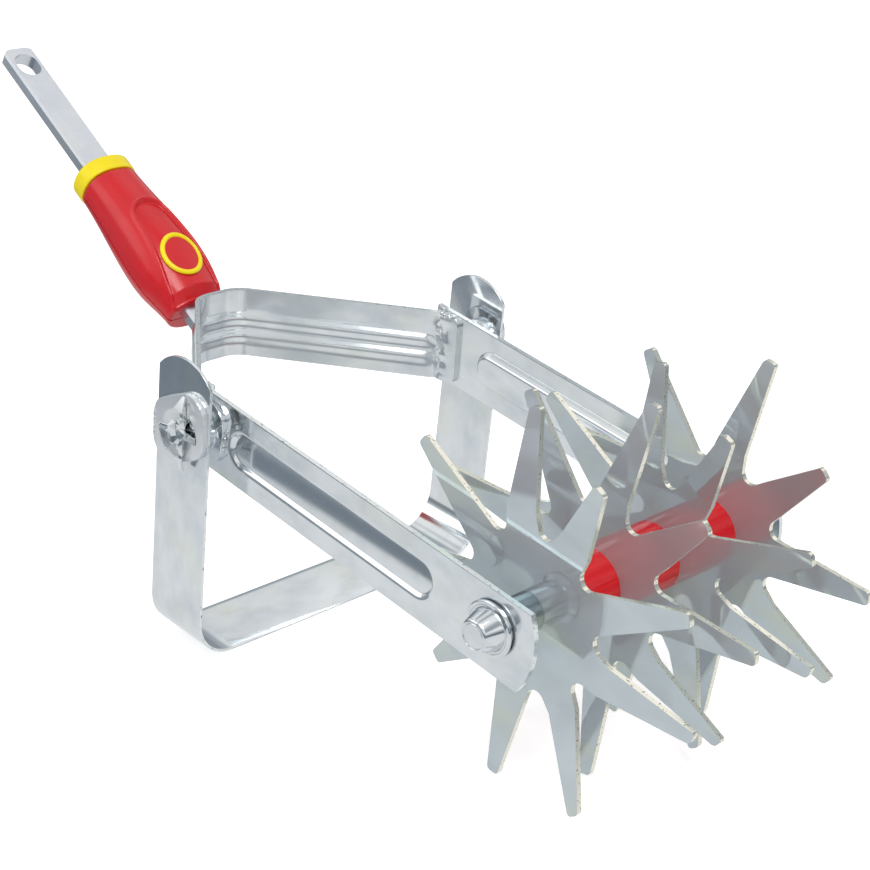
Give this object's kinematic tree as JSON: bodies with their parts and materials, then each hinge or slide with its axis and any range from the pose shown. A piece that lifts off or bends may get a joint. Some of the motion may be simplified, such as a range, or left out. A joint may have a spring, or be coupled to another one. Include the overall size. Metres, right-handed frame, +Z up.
{
  "type": "garden tiller head",
  "caption": "Push tiller head: toothed star wheels on an axle between two arms, a swinging stirrup hoe behind them, and a gripped tang for a long handle.",
  "frame": {"origin": "middle of the bounding box on the ground under the tool, as it rests on its wheels and on the front edge of the hoe's blade", "axes": "+X forward, the way the wheels are pushed; +Y to the left of someone pushing it; +Z up"},
  "size_m": [0.431, 0.1646, 0.1903],
  "materials": {
    "zinc_steel": "bright zinc plated strip steel",
    "blade_steel": "bright zinc plated spring steel strip",
    "star_steel": "bright zinc plated, faint yellow and blue passivation tint",
    "tang_steel": "satin zinc plated bar",
    "axle_steel": "bright zinc plated",
    "red_plastic": "fine eggshell moulding",
    "yellow_plastic": "smooth moulding",
    "spacer_plastic": "glossy extruded tube"
  },
  "bodies": {
    "frame": {"tang": "tang_steel", "grip_upper": "red_plastic", "grip_lower": "red_plastic", "grip_collar": "yellow_plastic", "badge_ring": "yellow_plastic", "badge_disc": "red_plastic", "grip_screws": "tang_steel", "yoke": "zinc_steel", "arm_near": "zinc_steel", "arm_far": "zinc_steel", "pivot_lug_near": "zinc_steel", "pivot_lug_far": "zinc_steel", "axle_rod": "axle_steel", "hub_cap_near": "axle_steel", "hub_cap_far": "axle_steel"},
    "roller": {"end_sleeve_near": "axle_steel", "end_sleeve_far": "axle_steel", "star_wheel_1": "star_steel", "star_wheel_2": "star_steel", "star_wheel_3": "star_steel", "star_wheel_4": "star_steel", "spacer_tube_1": "spacer_plastic", "spacer_tube_2": "spacer_plastic", "spacer_tube_3": "spacer_plastic"},
    "hoe": {"stirrup_blade": "blade_steel", "pivot_plate_near": "zinc_steel", "pivot_plate_far": "zinc_steel"}
  },
  "joints": [
    {"name": "roller_spin", "type": "hinge", "parent": "frame", "child": "roller", "pos_m": [0.14731, 0, 0.067], "axis": [0, 1, 0], "continuous": true},
    {"name": "hoe_swing", "type": "hinge", "parent": "frame", "child": "hoe", "pos_m": [0.00051, 0, 0.09254], "axis": [0, 1, 0], "range_deg": [0, 39]}
  ]
}
